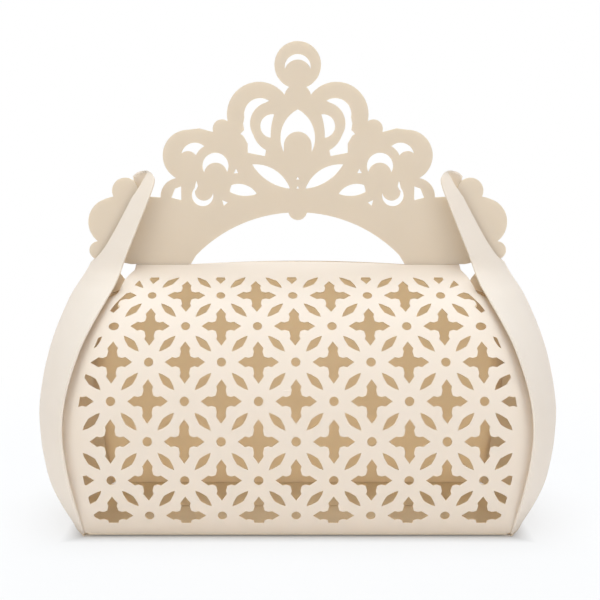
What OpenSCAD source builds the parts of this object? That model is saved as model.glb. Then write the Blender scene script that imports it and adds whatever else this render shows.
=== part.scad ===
// Paper gift box with a crown handle: laser-cut pearl card, three sheets, held shut by its ears.
// X runs along the front fold, Y from front to back, Z up from the table. Millimetres.

/* [Card] */
// Thickness of the card, mm
card = 0.4; // [0.3:0.05:0.6]
// Thickness of the glue line under each flap, mm
glue = 0.1; // [0.05:0.05:0.2]
// Gap between the two crown sheets, mm
crown_gap = 0.16; // [0.12:0.02:0.4]
// Working clearance round a scored fold, mm
fold_gap = 0.12; // [0.1:0.01:0.3]

/* [Base] */
// Length of the front and back folds, mm
base_length = 100; // [85:1:120]
// Depth of the base between the front and back folds, mm
base_depth = 44.4; // [38:0.2:52]
// How far each end of the base bows out past its corners, mm
base_bow = 7; // [4:0.5:10]

/* [Walls] */
// Outward lean of each long wall at its base fold, degrees
wall_lean = 27; // [20:0.5:32]
// How far each long wall has turned over at the crown fold, degrees from upright
wall_turn = 66.5; // [60:0.5:72]
// How far the ends stand proud of the long walls, mm
end_proud = 1; // [0.5:0.1:2]

/* [Lattice] */
// Half pitch of the lattice along the box, mm
lattice_across = 8.52; // [7.5:0.02:10]
// Row pitch of the lattice up the wall, mm
lattice_up = 9.12; // [8:0.02:11]
// First row above the base fold, mm
lattice_first = 5.5; // [4:0.1:8]
// Plain border left beside the seams, mm
lattice_border = 4.1; // [3:0.1:6]
// Radius of the small round holes, mm
dot_radius = 1.08; // [0.6:0.02:1.4]

/* [Ears] */
// Half width of the slit that takes the crown ends, mm
slit_half = 1.5; // [1.3:0.05:2]

/* [Hidden] */
$fn = 48;
bead = card * 0.55;
span = base_length / 100;
half_length = base_length / 2;
half_depth = base_depth / 2;
flap_low = card + glue;
fold_height = flap_low + card / 2;
crown_y = card / 2 + crown_gap / 2;
arc_radius = (half_depth - crown_y) / (cos(wall_lean) - cos(wall_turn));
arc_y = -half_depth + arc_radius * cos(wall_lean);
arc_z = fold_height + arc_radius * sin(wall_lean);
crease_z = arc_z + arc_radius * sin(wall_turn);
wall_length = arc_radius * (wall_lean + wall_turn) * PI / 180;
bow_radius = (half_depth * half_depth + base_bow * base_bow) / (2 * base_bow);
bow_centre = half_length + base_bow - bow_radius;
bow_angle = asin(half_depth / bow_radius);
leg_inner = 26.8 * span;
leg_outer = 39.8 * span;
ear_low = 2 * bead + 2 * fold_gap;
ear_tip = crease_z + 23 * span;
lattice_low = 3.4;
lattice_high = wall_length - 5.9;

// Height above the table of a level given on the closed box: below the crown fold it grows with the
// wall, above it with the crown.
function level(z) = z < 61.8 ? z * crease_z / 61.8 : crease_z + (z - 61.8) * span;

// Half length of the front edge of an end, at its levels
edge_x = [for (p = [[0, 49.8], [5, 50.5], [10, 51.4], [18, 52.8], [26, 53.6], [34, 52.9], [44, 50.2],
    [50, 47.6], [55, 45.1], [58, 43.7], [63.2, 42], [70.7, 39], [78.4, 36], [81, 35.3], [82.7, 35.1],
    [84, 35.5], [84.6, 36.2], [84.8, 36.6]])
    [level(p[0]), p[1] * span]];
// Half length of the middle line of an end, at its levels
spine_x = [for (p = [[0, 57], [5, 59.4], [10, 61.3], [15, 62.4], [20, 63.1], [29, 63.3], [42, 60.9],
    [54, 56.2], [61, 52.1], [65.5, 50], [73.4, 45.3], [81, 41], [83, 40.5], [84.1, 39.5], [84.6, 38.5],
    [84.8, 37.4]])
    [level(p[0]), (p[1] - 57) * span + half_length + base_bow]];
// Half depth of the ear, from just below the crown fold up to its tip, at its levels
ear_y = concat([for (z = [50, 55, 58]) [level(z), wall_y(level(z)) + end_proud]],
    [for (p = [[61.4, 5.5], [66, 5], [71, 4.7], [76, 4.4], [81, 3.8], [82.7, 3.2], [83.8, 2.4], [84.5, 1.3],
        [84.8, 0.5]]) [level(p[0]), p[1] * span]]);
// How sharply an end is folded about its middle line: 2 is a round bow, 1 a plain vee
fold_power = [[0, 2], [level(30), 2], [level(45), 1.8], [level(55), 1.6], [level(65), 1.4], [ear_tip, 1.4]];

// Index of the stretch of a table that holds a value
function stretch(t, z, i = 0) = i >= len(t) - 2 || z <= t[i + 1][0] ? i : stretch(t, z, i + 1);
// Slope of the smooth curve through a table at one of its points
function steep(t, i) = let (a = max(i - 1, 0), b = min(i + 1, len(t) - 1))
    (t[b][1] - t[a][1]) / (t[b][0] - t[a][0]);
// Smooth curve through the points of a table
function curve(t, z) = let (i = stretch(t, z), w = t[i + 1][0] - t[i][0], u = (z - t[i][0]) / w)
    t[i][1] * (1 + 2 * u) * (1 - u) * (1 - u) + steep(t, i) * w * u * (1 - u) * (1 - u)
    + t[i + 1][1] * u * u * (3 - 2 * u) + steep(t, i + 1) * w * u * u * (u - 1);

// Distance of a long wall's middle surface in front of the crown plane, at a height
function wall_y(z) = arc_radius * cos(asin(min(1, max(-1, (z - arc_z) / arc_radius)))) - arc_y;
// Half depth of an end's front edge, at a height
function end_y(z) = z < level(50) ? wall_y(max(z, fold_height)) + 0.2 + (end_proud - 0.2) * min(1, z / 10)
    : curve(ear_y, z);
// Distance of an end's middle surface from the middle of the box, at a share of its half depth
function end_x(share, z) = let (a = curve(edge_x, z))
    a + (curve(spine_x, z) - a) * (1 - pow(abs(share), lookup(z, fold_power)));
// Distance from the middle of the box to the inner face of an end, where a long wall meets it at a height
function seam_x(z) = end_x(min(1, wall_y(z) / end_y(z)), z) - card / 2;
// Half length of a long wall's outline at a height, clear of the ends, more so where they close in on it
function wall_x(z) = seam_x(z) - 0.75 - 0.06 * max(0, z - level(45));

// Grid of an end: share runs across it from front to back, level up it
end_shares = [for (i = [-12:12]) sign(i) * pow(abs(i) / 12, 1.1)];
end_levels = [for (i = [0:28]) ear_low + (level(78) - ear_low) * i / 28,
    for (i = [1:8]) level(78) + (ear_tip - level(78)) * sin(90 * i / 8)];
function end_point(v, z) = [end_x(v, z), v * end_y(z), z];
function unit(p) = p / norm(p);
function end_normal(v, z) = unit(cross(
    end_point(min(1, v + 0.02), z) - end_point(max(-1, v - 0.02), z),
    end_point(v, min(ear_tip, z + 0.1)) - end_point(v, max(ear_low, z - 0.1))));

// Lattice
function zone_x(s) = seam_x(min(level(56), arc_z + arc_radius * sin(s / arc_radius * 180 / PI - wall_lean)))
    - lattice_border - max(0, s - wall_length * 0.82) * 0.66;
function inside(x, s, dx, ds) = s - ds >= lattice_low && s + ds <= lattice_high
    && abs(x) + dx <= min(zone_x(s - ds), zone_x(s), zone_x(s + ds));
function outside(x, s, dx, ds) = s - ds + 0.5 >= lattice_high || s + ds - 0.5 <= lattice_low
    || abs(x) - dx + 0.5 >= max(zone_x(max(0, s - ds)), zone_x(s), zone_x(min(wall_length, s + ds)));

module zone() {
    steps = [for (i = [0:12]) lattice_low + (lattice_high - lattice_low) * i / 12];
    polygon(concat([for (s = steps) [zone_x(s), s]],
        [for (i = [12:-1:0]) [-zone_x(steps[i]), steps[i]]]));
}

module dot() {
    circle(dot_radius);
}

module star() {
    a = lattice_across * 0.553;
    b = lattice_up * 0.56;
    quarter = [[a, 0], [a - 1.65, 1.22], [a - 2.5, 1], [1.3, 1.35], [1, b - 2.5], [1.22, b - 1.7]];
    turned = [[0, b], [-1.22, b - 1.7], [-1, b - 2.5], [-1.3, 1.35], [2.5 - a, 1], [1.65 - a, 1.22]];
    polygon(concat(quarter, turned, -quarter, -turned));
}

module petal(way) {
    rotate(way * atan2(lattice_up, lattice_across))
        polygon([[2.75, 0], [1.9, 0.45], [1, 0.72], [0, 0.98], [-1, 0.72], [-1.9, 0.45],
            [-2.75, 0], [-1.9, -0.45], [-1, -0.72], [0, -0.98], [1, -0.72], [1.9, -0.45]]);
}

// One lattice hole through the front wall, cut short where it would cross the border
module hole(x, s, dx, ds) {
    turn = s / arc_radius * 180 / PI - wall_lean;
    if (!outside(x, s, dx, ds))
        translate([x, arc_y - arc_radius * cos(turn), arc_z + arc_radius * sin(turn)])
            rotate([90 - turn, 0, 0])
                linear_extrude(card * 4, center = true)
                    if (inside(x, s, dx, ds))
                        children();
                    else
                        intersection() {
                            children();
                            translate([-x, -s]) zone();
                        }
}

module lattice() {
    columns = ceil(half_length / lattice_across) + 1;
    rows = ceil(wall_length / lattice_up);
    for (j = [0:rows], i = [-columns:columns]) {
        x = i * lattice_across;
        s = lattice_first + j * lattice_up;
        if ((i + j) % 2 == 0)
            hole(x, s, dot_radius, dot_radius) dot();
        else
            hole(x, s, lattice_across * 0.553, lattice_up * 0.56) star();
        hole(x + lattice_across / 2, s + lattice_up / 2, 1.9, 2.05)
            petal((i + j) % 2 == 0 ? 1 : -1);
    }
}

// Bar along X, used for folds and for the clearance round them
module bar(y, z, r, from, to) {
    translate([from, y, z]) rotate([0, 90, 0]) cylinder(r = r, h = to - from);
}

// Curved bar along the bowed end of the base, on the right
module end_bar(r) {
    translate([bow_centre, 0, bead]) rotate([0, 0, -bow_angle])
        rotate_extrude(angle = 2 * bow_angle) translate([bow_radius, 0]) circle(r);
}

module base_shape() {
    square([base_length, base_depth], center = true);
    intersection() {
        square([base_length + 3 * base_bow, base_depth], center = true);
        union() {
            end_round();
            mirror([1, 0]) end_round();
        }
    }
}

// Bowed end of the base, on the right
module end_round() {
    intersection() {
        translate([bow_centre, 0]) circle(bow_radius, $fn = 96);
        translate([half_length * 0.8, -base_depth]) square([half_length, 2 * base_depth]);
    }
}

module plain_wall() {
    reach = 4 * card;
    levels = [for (i = [0:20]) fold_height - reach + (level(56) - fold_height + reach) * i / 20];
    intersection() {
        translate([0, arc_y, arc_z]) rotate([90, 0, 90]) rotate([0, 0, 180 - wall_turn])
            rotate_extrude(angle = wall_turn + wall_lean)
                translate([arc_radius - card / 2, -half_length * 1.2]) square([card, base_length * 1.2]);
        translate([0, half_depth, 0]) rotate([90, 0, 0]) linear_extrude(base_depth * 2)
            polygon(concat(
                [for (z = levels) [wall_x(max(z, fold_height)), z]],
                [[leg_outer, level(60.9)], [leg_outer, crease_z + reach]],
                [[-leg_outer, crease_z + reach], [-leg_outer, level(60.9)]],
                [for (i = [20:-1:0]) [-wall_x(max(levels[i], fold_height)), levels[i]]]));
    }
}

// Long wall before the lattice is cut, clear of both its folds
module long_wall() {
    difference() {
        plain_wall();
        bar(-half_depth, fold_height, bead + fold_gap, -base_length, base_length);
        bar(-crown_y, crease_z, bead, -base_length, base_length);
    }
}

module disc(x, y, r) {
    translate([x, y]) circle(r);
}

// Solid of one half of the crown, from the middle to the left
module crown_solid() {
    disc(0, 48.6, 5.65);
    disc(0, 40.8, 3.25);
    disc(-9.4, 36.75, 7.8);
    disc(-18.4, 33.25, 2.3);
    disc(-26.65, 26.8, 6.25);
    disc(-29, 16.85, 4.55);
    disc(-43.2, 17.9, 3.2);
    disc(-45.4, 10.6, 5.95);
    disc(-49, 3.7, 2.2);
    polygon([[0.1, 8], [0.1, 40.8], [-9.4, 40], [-18.4, 33.25], [-20.6, 32.5], [-24, 33.4],
        [-27.1, 33], [-27, 27], [-29, 21], [-33.4, 16.65], [-39.9, 16.65], [-41.5, 19.6], [-43.2, 17.9],
        [-45.4, 10.6], [-49, 3.7], [-48.6, 1.54], [-42.6, 0.6], [-39.8, 0], [-24, 0]]);
}

// Openings of one half of the crown
module crown_holes() {
    difference() {
        disc(0, 48.1, 3.15);
        disc(0, 46.55, 3.3);
    }
    difference() {
        union() {
            disc(-9.15, 36.8, 3.9);
            polygon([[-13, 36], [-8, 35], [-7.75, 28], [-8, 26.7], [-12.2, 27.5], [-12.2, 29.7],
                [-13.3, 31.65], [-14, 32.05], [-13.05, 33.05], [-13.3, 34.5]]);
        }
        disc(-6.4, 34.55, 5.2);
        disc(-4.6, 33.85, 6.55);
    }
    difference() {
        disc(-6.25, 33.95, 2.85);
        disc(8.75, 31.65, 15.35);
    }
    difference() {
        intersection() {
            disc(-3.55, 31.1, 7.75);
            disc(3.55, 31.1, 7.75);
            translate([-6, 27.4]) square([12, 12]);
        }
        disc(0, 29.2, 3.4);
        translate([-3.4, 26]) square([6.8, 3.2]);
    }
    intersection() {
        disc(-10.4, 15.65, 9.05);
        disc(-0.65, 30.85, 12.15);
    }
    intersection() {
        disc(-14.45, 14.7, 5.25);
        disc(-12.8, 25.05, 8.05);
        disc(-13.35, 18.1, 3.25);
    }
    difference() {
        intersection() {
            disc(-25.1, 26.55, 3.4);
            translate([-30, 26.2]) square([10, 5]);
        }
        disc(-26.8, 25.55, 2.35);
        disc(-20.9, 25.3, 4.2);
    }
    difference() {
        disc(-20.1, 24.3, 3.2);
        disc(-20.05, 22.3, 2.8);
    }
    difference() {
        disc(-23.3, 17.15, 2.65);
        disc(-22.95, 18.05, 2.2);
    }
    polygon([[-25.5, 18], [-24.8, 20.9], [-24.4, 19.4], [-24.9, 18.4]]);
    polygon([[-31, 16.55], [-30.1, 18.75], [-28.5, 19.35], [-28.5, 15.95]]);
    polygon([[-15.65, 22.55], [-14.55, 22.55], [-15.05, 23.65]]);
    polygon([[-18.55, 16], [-17.15, 15.4], [-18.15, 14.6]]);
    polygon([[-0.35, 21], [0.35, 21], [0, 21.7]]);
    polygon([[-0.35, 18.8], [0.35, 18.8], [0, 19.4]]);
}

module both_halves() {
    children();
    mirror([1, 0]) children();
}

// Flat shape of a crown sheet, its fold at height 0
module crown_shape() {
    difference() {
        scale(span) both_halves() crown_solid();
        scale(span) both_halves() crown_holes();
        scale(span) difference() {
            intersection() {
                disc(0, -21.9, 34.9);
                disc(0, -14.5, 30.2);
            }
            disc(0, 13.4, 2.3);
        }
    }
}

module crown_sheet() {
    difference() {
        translate([0, -crown_gap / 2, crease_z]) rotate([90, 0, 0]) linear_extrude(card) crown_shape();
        bar(-crown_y, crease_z, bead + fold_gap, -base_length, base_length);
    }
}

module end_sheet() {
    across = len(end_shares);
    up = len(end_levels);
    skin = across * up;
    outer = [for (z = end_levels, v = end_shares) end_point(v, z) + end_normal(v, z) * card / 2];
    inner = [for (z = end_levels, v = end_shares) end_point(v, z) - end_normal(v, z) * card / 2];
    quads = [for (j = [0:up - 2], i = [0:across - 2]) [j * across + i, j * across + i + 1,
        (j + 1) * across + i + 1, (j + 1) * across + i]];
    rim = concat([for (i = [0:across - 2]) i], [for (j = [0:up - 2]) j * across + across - 1],
        [for (i = [across - 1:-1:1]) (up - 1) * across + i], [for (j = [up - 1:-1:1]) j * across]);
    rim_edges = [for (k = [0:len(rim) - 1]) [rim[k], rim[(k + 1) % len(rim)]]];
    slit_mid = (level(62.6) + level(83.4)) / 2;
    slit_long = (level(83.4) - level(62.6)) / 2;
    slit_side = [for (i = [-12:12]) sin(90 * i / 12)];
    difference() {
        polyhedron(concat(outer, inner), concat(
            [for (q = quads) [q[0], q[2], q[1]]],
            [for (q = quads) [q[0], q[3], q[2]]],
            [for (q = quads) [skin + q[0], skin + q[1], skin + q[2]]],
            [for (q = quads) [skin + q[0], skin + q[2], skin + q[3]]],
            [for (e = rim_edges) [e[0], e[1], skin + e[1]]],
            [for (e = rim_edges) [e[0], skin + e[1], skin + e[0]]]));
        translate([20 * span, 0, slit_mid]) rotate([90, 0, 90]) linear_extrude(50 * span)
            polygon(concat(
                [for (t = slit_side) [slit_half * sqrt(1 - pow(t, 4)), slit_long * t]],
                [for (t = slit_side) [-slit_half * sqrt(1 - pow(t, 4)), -slit_long * t]]));
    }
}

module flap_sheet() {
    difference() {
        translate([0, 0, flap_low]) linear_extrude(card)
            polygon([[half_length - 1, -half_depth], [half_length - 4, -half_depth + 3],
                [half_length - 5, -0.5], [5 - half_length, -0.5],
                [4 - half_length, -half_depth + 3], [1 - half_length, -half_depth]]);
        bar(-half_depth, fold_height, bead, -base_length, base_length);
    }
}

module glue_line() {
    translate([10 - half_length, 3 - half_depth, card]) cube([base_length - 20, half_depth - 6, glue]);
}

module base_panel() {
    color([0.93, 0.89, 0.83]) difference() {
        linear_extrude(card) base_shape();
        end_bar(bead);
        mirror([1, 0, 0]) end_bar(bead);
    }
}

module left_base_crease() {
    color([0.88, 0.83, 0.75]) mirror([1, 0, 0]) end_bar(bead);
}

module right_base_crease() {
    color([0.88, 0.83, 0.75]) end_bar(bead);
}

module left_end_panel() {
    color([0.95, 0.92, 0.86]) mirror([1, 0, 0]) end_sheet();
}

module right_end_panel() {
    color([0.95, 0.92, 0.86]) end_sheet();
}

module front_glue_line() {
    color([0.97, 0.96, 0.92]) glue_line();
}

module back_glue_line() {
    color([0.97, 0.96, 0.92]) mirror([0, 1, 0]) glue_line();
}

module front_flap() {
    color([0.9, 0.85, 0.78]) flap_sheet();
}

module back_flap() {
    color([0.9, 0.85, 0.78]) mirror([0, 1, 0]) flap_sheet();
}

module front_base_crease() {
    color([0.88, 0.83, 0.75]) bar(-half_depth, fold_height, bead, 1 - half_length, half_length - 1);
}

module back_base_crease() {
    color([0.88, 0.83, 0.75]) bar(half_depth, fold_height, bead, 1 - half_length, half_length - 1);
}

module front_wall() {
    color([0.96, 0.92, 0.86]) difference() {
        long_wall();
        lattice();
    }
}

module back_wall() {
    color([0.96, 0.92, 0.86]) mirror([0, 1, 0]) long_wall();
}

module front_left_crown_crease() {
    color([0.88, 0.83, 0.75]) bar(-crown_y, crease_z, bead, -leg_outer, -leg_inner);
}

module front_right_crown_crease() {
    color([0.88, 0.83, 0.75]) bar(-crown_y, crease_z, bead, leg_inner, leg_outer);
}

module back_left_crown_crease() {
    color([0.88, 0.83, 0.75]) bar(crown_y, crease_z, bead, -leg_outer, -leg_inner);
}

module back_right_crown_crease() {
    color([0.88, 0.83, 0.75]) bar(crown_y, crease_z, bead, leg_inner, leg_outer);
}

module front_crown() {
    color([0.88, 0.82, 0.74]) crown_sheet();
}

module back_crown() {
    color([0.88, 0.82, 0.74]) mirror([0, 1, 0]) crown_sheet();
}

base_panel();
left_base_crease();
right_base_crease();
left_end_panel();
right_end_panel();
front_glue_line();
back_glue_line();
front_flap();
back_flap();
front_base_crease();
back_base_crease();
front_wall();
back_wall();
front_left_crown_crease();
front_right_crown_crease();
back_left_crown_crease();
back_right_crown_crease();
front_crown();
back_crown();
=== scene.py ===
"""Paper gift box with a crown handle: the looks of the card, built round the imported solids."""
import math

import bmesh
import bpy
import numpy as np
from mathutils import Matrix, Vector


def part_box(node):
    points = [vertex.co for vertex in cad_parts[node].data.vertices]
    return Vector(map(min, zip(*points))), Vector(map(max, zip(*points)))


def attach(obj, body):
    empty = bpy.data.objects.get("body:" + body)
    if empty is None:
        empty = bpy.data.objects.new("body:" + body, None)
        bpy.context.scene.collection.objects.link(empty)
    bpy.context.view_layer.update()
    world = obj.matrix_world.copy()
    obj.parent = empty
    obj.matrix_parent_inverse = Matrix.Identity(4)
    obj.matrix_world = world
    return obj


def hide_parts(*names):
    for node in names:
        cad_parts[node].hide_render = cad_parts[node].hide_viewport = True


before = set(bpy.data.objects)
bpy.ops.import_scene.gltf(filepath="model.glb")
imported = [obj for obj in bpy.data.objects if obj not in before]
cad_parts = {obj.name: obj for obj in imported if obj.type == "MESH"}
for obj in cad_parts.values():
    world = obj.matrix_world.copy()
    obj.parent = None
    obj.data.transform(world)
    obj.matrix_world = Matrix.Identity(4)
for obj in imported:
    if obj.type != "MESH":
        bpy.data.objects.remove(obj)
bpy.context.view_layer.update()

MM = 0.001

# Sizes of the box in millimetres, the same as in the part's source
CARD = 0.4
HALF_LENGTH = 50.0
HALF_DEPTH = 22.2
WALL_LEAN = math.radians(27.0)
WALL_TURN = math.radians(66.5)
FOLD_HEIGHT = 0.7
FOLD_LEVEL = 61.8
CROWN_Y = 0.28
END_PROUD = 1.0
FOOT_PROUD = 0.2
FOOT_RISE = 10.0
WALL_CLEAR = 0.75
WALL_CLOSING = 0.06
LEG_INNER = 26.8
SLIT_HALF = 1.5
EAR_LOW = 0.68
ARC_RADIUS = (HALF_DEPTH - CROWN_Y) / (math.cos(WALL_LEAN) - math.cos(WALL_TURN))
ARC_Y = -HALF_DEPTH + ARC_RADIUS * math.cos(WALL_LEAN)
ARC_Z = FOLD_HEIGHT + ARC_RADIUS * math.sin(WALL_LEAN)
CREASE_Z = ARC_Z + ARC_RADIUS * math.sin(WALL_TURN)
EAR_TIP = CREASE_Z + 23.0
WALL_LENGTH = ARC_RADIUS * (WALL_LEAN + WALL_TURN)

# Bends of the ends that only the looks have: edges further proud, front strip wider than the slit
EDGE_OUT = 0.35
FRONT_WIDER = 1.27

# Border of a long wall: gap to the end card, width, sink at the seam and the heights over which it sinks
HAIRLINE = 0.2
BORDER = 6.5
BORDER_SINK = 2.1
SINK_RISE = (2.0, 44.0)

# Free edge of a long wall: swell between the legs and how far down the card it reaches
FREE_EDGE_SWELL = 0.95
SWELL_REACH = 7.0

# Racked lattice of the front wall: shift to the left at the foot, what the height adds to it, the bell
# across the wall, and the way along the card and out to the legs over which the legs hold it
RACK_FOOT = 0.42
RACK_ADDED = 1.2
RACK_FROM = 34.0
RACK_RUN = 24.0
RACK_MIDDLE = -10.0
RACK_WIDTH = 26.0
HELD_ACROSS = (20.0, LEG_INNER)
HELD_ALONG = (WALL_LENGTH - 9.0, WALL_LENGTH - 2.0)

# Small lobe at each end of the crown: its circle, and how far it is drawn in and up
LOBE_X = 43.3
LOBE_Z = CREASE_Z + 18.0
LOBE_RADIUS = 3.1
LOBE_IN = 1.0
LOBE_UP = 0.35

# Radii of the pressed beads, and how far the base is set back under the flaps
CROWN_BEAD = 0.27
BASE_BEAD = 0.33
END_BEAD = 0.22
BASE_BACK = 1.3

# Fineness of the surfaces: rows, columns and steps
FOOT_ROWS = 72
EAR_ROWS = 73
TIP_ROWS = 5
HALF_COLUMNS = 37
COLUMN_POWER = 1.1
BASE_ROWS = 41
BASE_COLUMNS = 33
BOW_STEPS = 61
RING_POINTS = 16
SHARE_STEP = 0.02
HEIGHT_STEP = 0.1

# Planes that cut the long walls up, and how near points are merged, in millimetres
CUT_REACH = 53
CUT_STEP = 2
DOUBLES = 0.0001
COPY_DOUBLES = 0.003

# What tells a cut edge from a face: the angle between them, and the cosine of a face to the card's own curve
CUT_ANGLE = math.radians(40)
FACE_COSINE = 0.3
EDGE_COSINE = 0.6
# A slit narrower than this share of the half depth counts as closed
CLOSED = 1e-9


def level(z):
    """Height of a level of the closed box: below the crown fold it is scaled to the fold's own height."""
    z = np.asarray(z, float)
    return np.where(z < FOLD_LEVEL, z * CREASE_Z / FOLD_LEVEL, CREASE_Z + z - FOLD_LEVEL)


def table(*points):
    """Table of (height, value) rows from (level, value) points."""
    rows = np.array(points, float)
    rows[:, 0] = level(rows[:, 0])
    return rows


def curve(rows, z):
    """Smooth curve through a table: cubic stretches, each point's slope taken from its two neighbours."""
    heights, values = rows[:, 0], rows[:, 1]
    before = np.maximum(np.arange(len(rows)) - 1, 0)
    after = np.minimum(np.arange(len(rows)) + 1, len(rows) - 1)
    slope = (values[after] - values[before]) / (heights[after] - heights[before])
    i = np.clip(np.searchsorted(heights, z, side="left") - 1, 0, len(rows) - 2)
    wide = heights[i + 1] - heights[i]
    u = (z - heights[i]) / wide
    start = values[i] * (1 + 2 * u) * (1 - u) ** 2 + slope[i] * wide * u * (1 - u) ** 2
    return start + values[i + 1] * u * u * (3 - 2 * u) + slope[i + 1] * wide * u * u * (u - 1)


def smooth(value, low, high):
    """Rise from 0 at low to 1 at high, level at both ends."""
    u = np.clip((value - low) / (high - low), 0, 1)
    return u * u * (3 - 2 * u)


def sine_steps(first, last, count):
    """Sines of evenly spaced angles in degrees, so that the steps crowd together towards a right angle."""
    return np.sin(np.radians(np.linspace(first, last, count)))


def wall_y(z):
    """Distance of a long wall in front of the crown plane: a circle arc leaning out at the base fold."""
    rise = np.clip((z - ARC_Z) / ARC_RADIUS, -1, 1)
    return ARC_RADIUS * np.sqrt(1 - rise * rise) - ARC_Y


# Outlines of an end panel: half length of its front edge and of its middle line, half depth of its ear
EDGE_X = table((0, 49.8), (5, 50.5), (10, 51.4), (18, 52.8), (26, 53.6), (34, 52.9), (44, 50.2),
               (50, 47.6), (55, 45.1), (58, 43.7), (63.2, 42), (70.7, 39), (78.4, 35.9), (81, 34.95),
               (82.7, 34.65), (83.7, 34.95), (84.4, 35.7), (84.8, 36.6))
SPINE_X = table((0, 55.6), (5, 59.0), (10, 61.3), (15, 62.4), (20, 63.1), (29, 63.3), (42, 60.9),
                (54, 56.1), (61, 51.6), (65.5, 49.4), (73.4, 45.0), (81, 41), (83, 40.5), (84.1, 39.5),
                (84.6, 38.5), (84.8, 37.4))
EAR_Y = table((50, 0), (55, 0), (58, 0), (61.4, 5.5), (66, 5), (71, 4.7), (76, 4.4), (81, 3.8),
              (82.7, 3.2), (83.8, 2.4), (84.5, 1.3), (84.8, 0.5))
EAR_Y[:3, 1] = wall_y(EAR_Y[:3, 0]) + END_PROUD
# How sharply an end is folded about its middle line: 2 is a round bow, 1 a plain vee
FOLD_POWER = table((0, 2), (30, 2), (45, 1.8), (55, 1.6), (65, 1.4), (84.8, 1.4))
# Share by which the back strip of the ear is bent out, so that the front strip hides it
BACK_OUT = table((57.5, 0), (59.5, 0.2), (64, 0.35), (84.8, 0.35))
# Share of the half depth at which the front strip starts beside the slit: it narrows towards the tip
STRIP_START = table((76, 0), (78.9, 0.47), (80.5, 0.52), (82, 0.6), (83.4, 0.68), (84.2, 0.78), (84.8, 0.9))

# Heights where the forms of the ears and of the long walls start and stop
EAR_FROM, TIP_FLAT = level((50, 80))
NECK = level((58, 61.4))
SLIT_LOW, SLIT_HIGH, STRIP_HIGH = level((62.6, 83.4, 84.7))
CLOSING_FROM = level(45)
DRAW_FADE = level((54, 57))
SINK_FADE = level((57, 61))


def end_depth(z, out=EDGE_OUT):
    """Half depth of an end panel: just proud of the long walls below, the ear's own curve above.

    out is how much further the edge of the card stands out than that of the solid, up to the ear."""
    proud = FOOT_PROUD + (END_PROUD - FOOT_PROUD) * np.minimum(1, z / FOOT_RISE)
    low = wall_y(np.maximum(z, FOLD_HEIGHT)) + proud
    depth = np.where(z < EAR_FROM, low, curve(EAR_Y, z))
    return depth + out * smooth(z, 0, FOOT_RISE) * (1 - smooth(z, *NECK))


def end_point(share, z):
    """Middle surface of the right end: it bows out as a power of the share of its half depth."""
    edge = curve(EDGE_X, z)
    back = 1 - np.interp(z, *BACK_OUT.T) * (share > 0)
    bow = 1 - back * np.abs(share) ** np.interp(z, *FOLD_POWER.T)
    return np.stack([edge + (curve(SPINE_X, z) - edge) * bow, share * end_depth(z), z], axis=-1)


def end_normal(share, z):
    """Outward unit normal of the right end, from small steps across it and up it."""
    ahead, behind = np.minimum(1, share + SHARE_STEP), np.maximum(-1, share - SHARE_STEP)
    above, below = np.minimum(EAR_TIP, z + HEIGHT_STEP), np.maximum(EAR_LOW, z - HEIGHT_STEP)
    across = end_point(ahead, z) - end_point(behind, z)
    rise = end_point(share, above) - end_point(share, below)
    normal = np.cross(across, rise)
    return normal / np.linalg.norm(normal, axis=-1, keepdims=True)


def slit_width(z):
    """Half width of the slit that takes the crown ends: a long rounded oval."""
    middle = (SLIT_LOW + SLIT_HIGH) / 2
    reach = (SLIT_HIGH - SLIT_LOW) / 2
    return SLIT_HALF * np.sqrt(np.clip(1 - ((z - middle) / reach) ** 4, 0, 1))


def end_inner_x(y, z):
    """Half length of the inner face of an end at a depth and height: its middle surface less half a card."""
    share = np.minimum(1, np.abs(y) / end_depth(z))
    return end_point(share, z)[..., 0] - CARD / 2 / end_normal(share, z)[..., 0]


def wall_edge(z):
    """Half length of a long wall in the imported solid, a little short of the ends."""
    seam = end_point(np.minimum(1, wall_y(z) / end_depth(z, 0)), z)[..., 0] - CARD / 2
    return seam - WALL_CLEAR - WALL_CLOSING * np.maximum(0, z - CLOSING_FROM)


# Meshes
def grid_faces(rows, columns):
    """Quads of a grid of points numbered row by row."""
    corner = np.arange(rows - 1)[:, None] * columns + np.arange(columns - 1)[None, :]
    quads = np.stack([corner, corner + 1, corner + columns + 1, corner + columns], axis=-1)
    return quads.reshape(-1, 4)


def rim_faces(rows, columns, skin):
    """Quads round the edge of a sheet of two grids, the second grid numbered from skin."""
    bottom = np.arange(columns)
    right = np.arange(rows) * columns + columns - 1
    top = (rows - 1) * columns + np.arange(columns)[::-1]
    left = np.arange(rows)[::-1] * columns
    loop = np.concatenate([bottom[:-1], right[:-1], top[:-1], left[:-1]])
    after = np.roll(loop, -1)
    return np.stack([after, loop, loop + skin, after + skin], axis=-1)


def tube_faces(rows, columns):
    """Quads of a tube of rings numbered ring by ring."""
    corner = np.arange(rows - 1)[:, None] * columns + np.arange(columns)
    after = np.arange(rows - 1)[:, None] * columns + (np.arange(columns) + 1) % columns
    return np.stack([corner, after, after + columns, corner + columns], axis=-1).reshape(-1, 4)


def settled_mesh(name, work):
    """Mesh from an editable one, which is freed."""
    mesh = bpy.data.meshes.new(name)
    work.to_mesh(mesh)
    work.free()
    return mesh


def merged_copy(node):
    """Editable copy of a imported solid, doubles merged."""
    work = bmesh.new()
    work.from_mesh(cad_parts[node].data)
    bmesh.ops.remove_doubles(work, verts=work.verts, dist=COPY_DOUBLES * MM)
    return work


def vertex_places(mesh):
    """Places of a mesh's points in millimetres, as arrays of x, y and z."""
    places = np.empty(len(mesh.vertices) * 3)
    mesh.vertices.foreach_get("co", places)
    return places.reshape(-1, 3).T / MM


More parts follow.
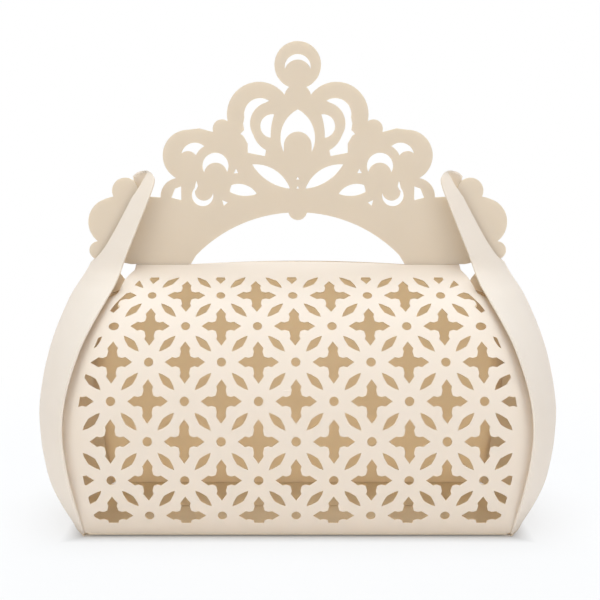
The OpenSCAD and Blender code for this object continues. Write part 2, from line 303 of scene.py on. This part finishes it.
def move_vertices(mesh, x, y, z):
    """Put a mesh's points at new places in millimetres."""
    mesh.vertices.foreach_set("co", (np.stack([x, y, z], axis=-1) * MM).reshape(-1))
    mesh.update()


def finish_piece(name, mesh, body, node):
    """A named piece from a mesh, smooth but sharp at its cut edges, riding on a body for a node."""
    piece = bpy.data.objects.new(name, mesh)
    bpy.context.scene.collection.objects.link(piece)
    mesh.validate()
    mesh.shade_smooth()
    mesh.set_sharp_from_angle(angle=CUT_ANGLE)
    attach(piece, body)
    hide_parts(node)
    return piece


def mesh_piece(name, points, faces, body, node):
    """A named piece from points in millimetres and faces, doubles merged."""
    mesh = bpy.data.meshes.new(name)
    mesh.from_pydata((points * MM).tolist(), [], faces.tolist())
    work = bmesh.new()
    work.from_mesh(mesh)
    bmesh.ops.remove_doubles(work, verts=work.verts, dist=DOUBLES * MM)
    work.to_mesh(mesh)
    work.free()
    return finish_piece(name, mesh, body, node)


def face_normals(mesh, smooth_normal):
    """Give the faces of a sheet the normals of its curve at each point; cut edges keep their own."""
    corners = np.empty(len(mesh.loops), np.int32)
    mesh.loops.foreach_get("vertex_index", corners)
    sides = np.empty(len(mesh.polygons), np.int32)
    mesh.polygons.foreach_get("loop_total", sides)
    flat_normal = np.empty(len(mesh.polygons) * 3)
    mesh.polygons.foreach_get("normal", flat_normal)
    flat_normal = np.repeat(flat_normal.reshape(-1, 3), sides, axis=0)
    facing = (flat_normal * smooth_normal[corners]).sum(axis=-1, keepdims=True)
    on_face = np.abs(facing) > FACE_COSINE
    normal = np.where(on_face, np.sign(facing) * smooth_normal[corners], flat_normal)
    mesh.normals_split_custom_set(normal.tolist())


# Ends
def end_heights():
    """Heights of the rows of an end: even up to the slit, crowded at the slit's ends and at the tip."""
    middle = (SLIT_LOW + STRIP_HIGH) / 2
    reach = (STRIP_HIGH - SLIT_LOW) / 2
    return np.concatenate([
        np.linspace(EAR_LOW, SLIT_LOW, FOOT_ROWS)[:-1],
        middle + reach * sine_steps(-90, 90, EAR_ROWS),
        STRIP_HIGH + (EAR_TIP - STRIP_HIGH) * sine_steps(0, 90, TIP_ROWS)[1:]])


def end_sheet(name, side, body, node):
    """Whole end panel: a sheet of card on both sides of the middle surface, with the slit left open.

    Each row runs from the front edge to the slit and from the slit to the back edge. Below and above the
    slit the two halves meet on the middle line."""
    heights = end_heights()
    start = slit_width(heights) / end_depth(heights)
    strip = np.interp(heights, *STRIP_START.T)
    ahead = np.where(heights < STRIP_HIGH, np.maximum(start * FRONT_WIDER, strip), 0)
    step = np.linspace(0, 1, HALF_COLUMNS) ** COLUMN_POWER
    front_half = -(ahead[:, None] + (1 - ahead[:, None]) * step)[:, ::-1]
    back_half = start[:, None] + (1 - start[:, None]) * step
    shares = np.concatenate([front_half, back_half], axis=1)
    rows, columns = shares.shape
    tall = np.repeat(heights[:, None], columns, axis=1)
    middle = end_point(shares, tall)
    push = end_normal(shares, tall) * CARD / 2
    points = np.concatenate([(middle + push).reshape(-1, 3), (middle - push).reshape(-1, 3)])
    points[:, 0] *= side
    # Faces of the two skins, without the column between the halves
    skin = rows * columns
    keep = np.ones((rows - 1, columns - 1), bool)
    keep[:, HALF_COLUMNS - 1] = False
    outer = grid_faces(rows, columns)[keep.reshape(-1)]
    inner = outer[:, ::-1] + skin
    # Cut edges of the slit
    before = np.arange(rows) * columns + HALF_COLUMNS - 1
    after = before + 1
    gap = np.flatnonzero(np.maximum(ahead[:-1], ahead[1:]) > CLOSED)
    slit_front = np.stack([before[gap], before[gap + 1], before[gap + 1] + skin, before[gap] + skin], axis=-1)
    slit_back = np.stack([after[gap + 1], after[gap], after[gap] + skin, after[gap + 1] + skin], axis=-1)
    faces = np.concatenate([outer, inner, rim_faces(rows, columns, skin), slit_front, slit_back])
    if side < 0:
        faces = faces[:, ::-1]
    # Points of the two halves that meet on the middle line become one
    closed = np.flatnonzero(ahead <= CLOSED)
    same = np.arange(len(points))
    same[after[closed]] = before[closed]
    same[after[closed] + skin] = before[closed] + skin
    used, faces = np.unique(same[faces], return_inverse=True)
    piece = mesh_piece(name, points[used], faces.reshape(-1, 4), body, node)
    # The rounded tip is lit as the flat strip that it is cut from
    x, y, z = vertex_places(piece.data)
    share = np.clip(y / end_depth(z), -1, 1)
    normal = end_normal(share, np.clip(z, EAR_LOW, TIP_FLAT))
    face_normals(piece.data, normal * (side, 1, 1))
    return piece


# Long walls and crowns
def lattice_rack(x, height, along):
    """Shift of the front lattice to the left: a bell across the wall, growing with the square of the height.

    It fades out at the top of the card where the legs of the crown hold it."""
    rack = RACK_FOOT + RACK_ADDED * (np.maximum(0, height - RACK_FROM) / RACK_RUN) ** 2
    held = smooth(np.abs(x), *HELD_ACROSS) * smooth(along, *HELD_ALONG)
    return rack * np.exp(-((x - RACK_MIDDLE) / RACK_WIDTH) ** 2) * (1 - held)


def wall_sheet(name, side, body, node):
    """Long wall: a copy of its solid, doubles merged, whose points are moved along the card's own curve.

    The border sinks by the square of the way to its edge and is drawn out to a hairline from the end card.
    The free edge swells as a parabola between the legs. On the front the lattice is racked to the left."""
    work = merged_copy(node)
    for cut in range(-CUT_REACH, CUT_REACH + 1, CUT_STEP):
        bmesh.ops.bisect_plane(work, geom=work.verts[:] + work.edges[:] + work.faces[:],
                               plane_co=(cut * MM, 0, 0), plane_no=(1, 0, 0))
    bmesh.ops.triangulate(work, faces=work.faces)
    mesh = settled_mesh(name, work)
    # Places of the points on the arc of the card: angle and radius, height and way along it
    x, y, z = vertex_places(mesh)
    angle = np.arctan2(z - ARC_Z, y * side + ARC_Y)
    radius = np.hypot(z - ARC_Z, y * side + ARC_Y)
    height = ARC_Z + ARC_RADIUS * np.sin(angle)
    along = ARC_RADIUS * (angle + WALL_LEAN)
    # Border at the seams and free edge between the legs
    edge = wall_edge(height)
    way = np.clip((np.abs(x) - edge + BORDER) / BORDER, 0, 1)
    sink = BORDER_SINK * smooth(height, *SINK_RISE) * (1 - smooth(height, *SINK_FADE))
    between = np.maximum(0, 1 - (x / LEG_INNER) ** 2)
    lift = smooth(along, WALL_LENGTH - SWELL_REACH, WALL_LENGTH)
    radius = radius - sink * way ** 2 + FREE_EDGE_SWELL * between * lift
    # Slopes of the moved face across and along the card, for its normals
    across = -2 * sink * way / BORDER * np.sign(x)
    across -= 2 * FREE_EDGE_SWELL * lift * x / LEG_INNER ** 2 * (between > 0)
    part = np.clip((along - WALL_LENGTH) / SWELL_REACH + 1, 0, 1)
    upward = 6 * FREE_EDGE_SWELL * between * part * (1 - part) / SWELL_REACH
    # New places of the points
    sine, cosine = np.sin(angle), np.cos(angle)
    depth = radius * cosine - ARC_Y
    z = ARC_Z + radius * sine
    draw = way * (1 - smooth(height, *DRAW_FADE))
    stretch = np.sign(x) * (end_inner_x(depth, z) - HAIRLINE - edge) * draw
    rack = lattice_rack(x, height, along) * (1 - way) if side < 0 else 0
    move_vertices(mesh, x + stretch - rack, depth * side, z)
    piece = finish_piece(name, mesh, body, node)
    normal = np.stack([-across, (cosine + upward * sine) * side, sine - upward * cosine], axis=-1)
    face_normals(mesh, normal / np.linalg.norm(normal, axis=-1, keepdims=True))
    return piece


def crown_sheet(name, body, node):
    """Crown: a copy of its solid, doubles merged, whose small end lobes are drawn in and up in its plane.

    The draw is full within the lobe's own circle and falls off smoothly to nothing round it."""
    mesh = settled_mesh(name, merged_copy(node))
    x, y, z = vertex_places(mesh)
    draw = 1 - smooth(np.hypot(np.abs(x) - LOBE_X, z - LOBE_Z), LOBE_RADIUS, 2 * LOBE_RADIUS)
    move_vertices(mesh, x - np.sign(x) * LOBE_IN * draw, y, z + LOBE_UP * draw)
    piece = finish_piece(name, mesh, body, node)
    face_normals(mesh, np.tile((0.0, 1.0, 0.0), (len(x), 1)))
    return piece


# Folds and base
def bead(name, path, radius, body, node):
    """Pressed bead of a fold: a round bar along a level path, its ends drawn to a point within a radius."""
    step = np.gradient(path, axis=0)
    ahead = step / np.linalg.norm(step, axis=-1, keepdims=True)
    up = np.array((0, 0, 1))
    beside = np.cross(ahead, up)
    run = np.concatenate([[0], np.cumsum(np.linalg.norm(np.diff(path, axis=0), axis=-1))])
    from_end = np.clip(np.minimum(run, run[-1] - run) / radius, 0, 1)
    thick = radius * np.sqrt(1 - (1 - from_end) ** 2)
    turn = np.linspace(0, 2 * math.pi, RING_POINTS + 1)[:-1]
    ring = beside[:, None] * np.cos(turn)[:, None] + up * np.sin(turn)[:, None]
    points = path[:, None] + thick[:, None, None] * ring
    faces = tube_faces(len(path), RING_POINTS)
    return mesh_piece(name, points.reshape(-1, 3), faces, body, node)


def straight_bead(name, radius, body, node):
    """Bead along the straight fold of a node."""
    low, high = (np.array(corner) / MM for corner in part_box(node))
    rounding = radius * np.array((0, 0.1, 0.3, 0.6, 1))
    x = np.concatenate([low[0] + rounding, high[0] - rounding[::-1]])
    y, z = (low[1:] + high[1:]) / 2
    path = np.stack([x, np.full(len(x), y), np.full(len(x), z)], axis=-1)
    return bead(name, path, radius, body, node)


def bowed_bead(name, side, node):
    """Bead along the bowed fold at an end of the base."""
    path = end_point(sine_steps(-90, 90, BOW_STEPS), np.full(BOW_STEPS, END_BEAD))
    path[:, 0] *= side
    return bead(name, path, END_BEAD, "base", node)


def base_sheet(name):
    """Base panel: a flat sheet between the two bowed folds, its long edges set back under the flaps."""
    y = np.linspace(-1, 1, BASE_ROWS) * (HALF_DEPTH - BASE_BACK)
    half = end_point(np.abs(y) / HALF_DEPTH, np.full(BASE_ROWS, END_BEAD))[:, 0] - END_BEAD
    x = np.linspace(-1, 1, BASE_COLUMNS)[None, :] * half[:, None]
    top = np.stack([x, np.repeat(y[:, None], BASE_COLUMNS, axis=1), np.full(x.shape, CARD)], axis=-1)
    points = np.concatenate([top.reshape(-1, 3), (top - (0, 0, CARD)).reshape(-1, 3)])
    outer = grid_faces(BASE_ROWS, BASE_COLUMNS)
    skin = BASE_ROWS * BASE_COLUMNS
    rim = rim_faces(BASE_ROWS, BASE_COLUMNS, skin)
    faces = np.concatenate([outer, outer[:, ::-1] + skin, rim])
    return mesh_piece(name, points, faces, "base", "base_panel")


# Pieces
FACES = ("front", "back")
HANDS = {"left": -1, "right": 1}
ends = [end_sheet(f"{hand}_end_card", side, f"{hand}_end", f"{hand}_end_panel")
        for hand, side in HANDS.items()]
front_wall = wall_sheet("front_wall_card", -1, "front_side", "front_wall")
back_wall = wall_sheet("back_wall_card", 1, "back_side", "back_wall")
crowns = [crown_sheet(f"{face}_crown_card", f"{face}_handle", f"{face}_crown") for face in FACES]
base_piece = base_sheet("base_card")
beads = []
for face in FACES:
    for hand in HANDS:
        fold = f"{face}_{hand}_crown"
        beads.append(straight_bead(f"{fold}_bead", CROWN_BEAD, f"{face}_side", f"{fold}_crease"))
for face in FACES:
    beads.append(straight_bead(f"{face}_base_bead", BASE_BEAD, "base", f"{face}_base_crease"))
for hand, side in HANDS.items():
    beads.append(bowed_bead(f"{hand}_base_bead", side, f"{hand}_base_crease"))


# Materials
def srgb(code):
    """Linear colour of an sRGB hex value."""
    parts = np.array([int(code[i:i + 2], 16) for i in (0, 2, 4)]) / 255
    linear = np.where(parts <= 0.04045, parts / 12.92, ((parts + 0.055) / 1.055) ** 2.4)
    return (*linear.tolist(), 1.0)


def add(tree, kind, inputs=(), **settings):
    """A shader node with its settings; each input is a value or another node's output."""
    made = tree.nodes.new(kind)
    for name, value in settings.items():
        setattr(made, name, value)
    for socket, value in dict(inputs).items():
        if isinstance(value, bpy.types.NodeSocket):
            tree.links.new(value, made.inputs[socket])
        else:
            made.inputs[socket].default_value = value
    return made


def empty_material(name):
    """A material and its node tree, with no nodes yet."""
    material = bpy.data.materials.new(name)
    material.use_nodes = True
    material.node_tree.nodes.clear()
    return material, material.node_tree


def cut_edge(tree, place, sheet):
    """Share that is 1 on the cut edges of a sheet and 0 on its faces, told from the true normal.

    sheet is "flat" for a sheet across Y, and "front" or "back" for a long wall, whose faces look along the
    radius of its arc."""
    geometry = add(tree, "ShaderNodeNewGeometry")
    normal = add(tree, "ShaderNodeVectorTransform", {"Vector": geometry.outputs["True Normal"]},
                 vector_type="NORMAL", convert_from="WORLD", convert_to="OBJECT")
    across = (0.0, 1.0, 0.0)
    if sheet != "flat":
        centre = (0.0, (ARC_Y if sheet == "front" else -ARC_Y) * MM, ARC_Z * MM)
        out = add(tree, "ShaderNodeVectorMath", {0: place, 1: centre}, operation="SUBTRACT")
        upright = add(tree, "ShaderNodeVectorMath", {0: out.outputs[0], 1: (0.0, 1.0, 1.0)},
                      operation="MULTIPLY")
        across = add(tree, "ShaderNodeVectorMath", {0: upright.outputs[0]}, operation="NORMALIZE").outputs[0]
    facing = add(tree, "ShaderNodeVectorMath", {0: normal.outputs[0], 1: across}, operation="DOT_PRODUCT")
    flat = add(tree, "ShaderNodeMath", {0: facing.outputs["Value"]}, operation="ABSOLUTE")
    return add(tree, "ShaderNodeMath", {0: flat.outputs[0], 1: EDGE_COSINE}, operation="LESS_THAN").outputs[0]


def pearl_card(name, face, through, sheet=None, fibre="F5E2BF"):
    """Cream card of about 300 gsm with a pearl coat, cut by laser: soft mottle, fine felt, a warmer cut edge.

    face is the two colours of the mottle; each piece gets its own pair, a lighter or darker copy of the one
    card's colour, which is painted light and shade. through is the share of light that comes through the
    card, warmed to the fibre colour; these too differ from piece to piece to light the inside of the box.
    sheet tells the cut edges from the faces, where the piece has some that show."""
    material, tree = empty_material(name)
    place = add(tree, "ShaderNodeTexCoord").outputs["Object"]
    # Mottle of the coat, about 7 mm across
    mottle = add(tree, "ShaderNodeTexNoise", {
        "Vector": place, "Scale": 140.0, "Detail": 3.0, "Roughness": 0.55}).outputs["Fac"]
    # Felt of the card, really about 0.15 mm, drawn at 0.5 mm so that it shows
    felt = add(tree, "ShaderNodeTexNoise", {
        "Vector": place, "Scale": 2000.0, "Detail": 2.0, "Roughness": 0.6}).outputs["Fac"]
    dark, light = (srgb(code) for code in face)
    colour = add(tree, "ShaderNodeMix", {0: mottle, 6: dark, 7: light}, data_type="RGBA").outputs[2]
    if sheet:
        share = cut_edge(tree, place, sheet)
        colour = add(tree, "ShaderNodeMix", {0: share, 6: colour, 7: srgb(EDGE)}, data_type="RGBA").outputs[2]
    rough = add(tree, "ShaderNodeMapRange", {"Value": felt, "To Min": 0.42, "To Max": 0.58})
    bump = add(tree, "ShaderNodeBump", {"Height": felt, "Strength": 0.12, "Distance": 0.05 * MM})
    coat = add(tree, "ShaderNodeBsdfPrincipled", {
        "Base Color": colour, "Roughness": rough.outputs["Result"], "Normal": bump.outputs["Normal"],
        "IOR": 1.45, "Specular IOR Level": 0.35, "Coat Weight": 0.08, "Coat Roughness": 0.35})
    # A little light comes through the card, warmed by its fibres
    glow = add(tree, "ShaderNodeBsdfTranslucent", {"Color": srgb(fibre)})
    card = add(tree, "ShaderNodeMixShader", {0: through, 1: coat.outputs["BSDF"], 2: glow.outputs["BSDF"]})
    add(tree, "ShaderNodeOutputMaterial", {"Surface": card.outputs[0]})
    return material


def dried_glue(name):
    """White craft glue dried in a thin line: off-white, a little uneven, with a soft gloss."""
    material, tree = empty_material(name)
    place = add(tree, "ShaderNodeTexCoord").outputs["Object"]
    # Ripples of the dried line, about 2 mm across
    ripple = add(tree, "ShaderNodeTexNoise", {"Vector": place, "Scale": 500.0, "Detail": 2.0}).outputs["Fac"]
    colour = add(tree, "ShaderNodeMix", {0: ripple, 6: srgb("EDE7D3"), 7: srgb("F5F2E6")}, data_type="RGBA")
    rough = add(tree, "ShaderNodeMapRange", {"Value": ripple, "To Min": 0.28, "To Max": 0.42})
    bump = add(tree, "ShaderNodeBump", {"Height": ripple, "Strength": 0.3, "Distance": 0.1 * MM})
    line = add(tree, "ShaderNodeBsdfPrincipled", {
        "Base Color": colour.outputs[2], "Roughness": rough.outputs["Result"],
        "Normal": bump.outputs["Normal"], "IOR": 1.47})
    add(tree, "ShaderNodeOutputMaterial", {"Surface": line.outputs[0]})
    return material


# Painted light and shade: the pieces are all one cream card, but each gets its own lit or shaded copy of its
# colour. The front wall is lighter, as the top light falls on it; the crown and the ends are darker; the back
# wall and the base are set for the light inside the box, the base darker and warmer.
CROWN_END_SHADE_FACE = ("ECE1D3", "EFE5D9")
FRONT_WALL_LIGHT_FACE = ("F3E8D9", "F6ECE0")
BACK_WALL_LIGHT_FACE = ("F2E5D3", "F5EADB")
BASE_SHADE_FACE = ("EADAC0", "EDE0CA")
# Painted shade: the fold beads are darker than the card, for the shade in the creases.
CREASE_SHADE_FACE = ("E6D7C0", "EADCC7")
EDGE = "DCC7A4"
# Painted light: the through shares and fibre colours also differ from piece to piece, with more light let
# through the walls and the crown to light the inside of the box.
end_card = pearl_card("pearl_card_end", CROWN_END_SHADE_FACE, 0.22)
front_card = pearl_card("pearl_card_front_wall", FRONT_WALL_LIGHT_FACE, 0.3, "front")
back_card = pearl_card("pearl_card_back_wall", BACK_WALL_LIGHT_FACE, 0.44, "back", "F6E6CA")
crown_card = pearl_card("pearl_card_crown", CROWN_END_SHADE_FACE, 0.46, "flat", "F5EBD2")
base_card = pearl_card("pearl_card_base", BASE_SHADE_FACE, 0.05)
crease_shade_card = pearl_card("scored_fold", CREASE_SHADE_FACE, 0.2)
glue_line = dried_glue("dried_glue")

for face in FACES:
    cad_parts[f"{face}_flap"].material_slots[0].material = base_card
    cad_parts[f"{face}_glue_line"].material_slots[0].material = glue_line
DRESSED = (
    (end_card, ends), (front_card, [front_wall]), (back_card, [back_wall]),
    (crown_card, crowns), (base_card, [base_piece]), (crease_shade_card, beads))
for finish, pieces in DRESSED:
    for piece in pieces:
        piece.data.materials.clear()
        piece.data.materials.append(finish)


# Floor and light
def plain_sight(tree):
    """Share that is 1 for rays of the camera, a mirror or glass, and 0 for light scattered by card."""
    path = add(tree, "ShaderNodeLightPath").outputs
    clear = add(tree, "ShaderNodeMath", {0: path["Is Glossy Ray"], 1: path["Is Transmission Ray"]},
                operation="MAXIMUM").outputs[0]
    sharp = add(tree, "ShaderNodeMath", {0: clear, 1: path["Is Diffuse Ray"]},
                operation="SUBTRACT").outputs[0]
    return add(tree, "ShaderNodeMath", {0: path["Is Camera Ray"], 1: sharp}, operation="MAXIMUM").outputs[0]


def paper_floor(name):
    """White paper: it keeps the shadow by the box and clears to the white of the background further off.

    away is the distance outside the base, in metres. What the box itself gets from the floor is the light of
    white paper."""
    material, tree = empty_material(name)
    place = add(tree, "ShaderNodeTexCoord").outputs["Object"]
    size = add(tree, "ShaderNodeVectorMath", {0: place}, operation="ABSOLUTE").outputs[0]
    base = (HALF_LENGTH * MM, HALF_DEPTH * MM, 0.0)
    outside = add(tree, "ShaderNodeVectorMath", {0: size, 1: base}, operation="SUBTRACT").outputs[0]
    sides = add(tree, "ShaderNodeSeparateXYZ", {0: outside}).outputs
    away = add(tree, "ShaderNodeMath", {0: sides[0], 1: sides[1]}, operation="MAXIMUM").outputs[0]
    by_box = add(tree, "ShaderNodeMapRange", {
        "Value": away, "From Min": 0.0, "From Max": 0.005, "To Min": 0.1, "To Max": 0.78}).outputs["Result"]
    beyond = add(tree, "ShaderNodeMapRange", {
        "Value": away, "From Min": 0.005, "From Max": 0.16, "To Min": 0.0, "To Max": 0.22}).outputs["Result"]
    clear = add(tree, "ShaderNodeMath", {0: by_box, 1: beyond}, operation="ADD").outputs[0]
    shade = add(tree, "ShaderNodeBsdfDiffuse", {"Color": (0.66, 0.66, 0.66, 1.0)}).outputs[0]
    glow = add(tree, "ShaderNodeEmission", {"Color": (1.0, 1.0, 1.0, 1.0), "Strength": 1.0}).outputs[0]
    shown = add(tree, "ShaderNodeMixShader", {0: clear, 1: shade, 2: glow}).outputs[0]
    paper = add(tree, "ShaderNodeBsdfDiffuse", {"Color": (0.95, 0.95, 0.95, 1.0)}).outputs[0]
    both = add(tree, "ShaderNodeMixShader", {0: plain_sight(tree), 1: paper, 2: shown}).outputs[0]
    add(tree, "ShaderNodeOutputMaterial", {"Surface": both})
    return material


FLOOR = 3.0
floor_mesh = bpy.data.meshes.new("studio_floor")
floor_mesh.from_pydata([(-FLOOR, -FLOOR, 0), (FLOOR, -FLOOR, 0), (FLOOR, FLOOR, 0), (-FLOOR, FLOOR, 0)],
                       [], [(0, 1, 2, 3)])
floor_mesh.materials.append(paper_floor("white_paper_floor"))
floor = bpy.data.objects.new("studio_floor", floor_mesh)
bpy.context.scene.collection.objects.link(floor)

world = bpy.data.worlds.new("studio")
bpy.context.scene.world = world
world.use_nodes = True
sky = world.node_tree
sky.nodes.clear()
fill = add(sky, "ShaderNodeBackground", {"Color": (0.9, 0.92, 1.0, 1.0), "Strength": 0.445})
white = add(sky, "ShaderNodeBackground", {"Color": (1.0, 1.0, 1.0, 1.0), "Strength": 1.0})
mixed = add(sky, "ShaderNodeMixShader", {0: plain_sight(sky), 1: fill.outputs[0], 2: white.outputs[0]})
add(sky, "ShaderNodeOutputWorld", {"Surface": mixed.outputs[0]})

AIM_HEIGHT = 0.05


def softbox(name, place, size, power, colour=(1.0, 1.0, 1.0)):
    """Square area light facing the box; the power is how bright it makes white card 1 m from it."""
    lamp = bpy.data.lights.new(name, "AREA")
    lamp.size = size
    lamp.energy = power * math.pi ** 2
    lamp.color = colour
    holder = bpy.data.objects.new(name, lamp)
    holder.visible_camera = False
    bpy.context.scene.collection.objects.link(holder)
    holder.location = place
    x, y, z = place
    holder.rotation_euler = (math.atan2(math.hypot(x, y), z - AIM_HEIGHT), 0, math.atan2(x, -y))


softbox("top_softbox", (0.0, 0.0, 0.95), 0.7, 0.71, (1.0, 1.127, 1.236))
softbox("left_front_softbox", (-0.7, -0.65, 0.4), 0.5, 0.255, (1.0, 0.97, 0.87))
softbox("right_front_softbox", (0.7, -0.65, 0.4), 0.5, 0.22, (1.0, 0.97, 0.91))
softbox("back_softbox", (0.0, 0.9, 0.3), 0.6, 0.5)

# Camera at the photograph's place
LOOK_DOWN = math.radians(6.38)
lens = bpy.data.cameras.new("camera")
lens.lens = 72.0
lens.sensor_width = 36.0
lens.shift_x = 0.0038
camera = bpy.data.objects.new("camera", lens)
bpy.context.scene.collection.objects.link(camera)
camera.location = (0.0, -0.29496, 0.08608)
camera.rotation_euler = (math.pi / 2 - LOOK_DOWN, 0, 0)
bpy.context.scene.camera = camera
bpy.context.scene.view_settings.view_transform = "Standard"
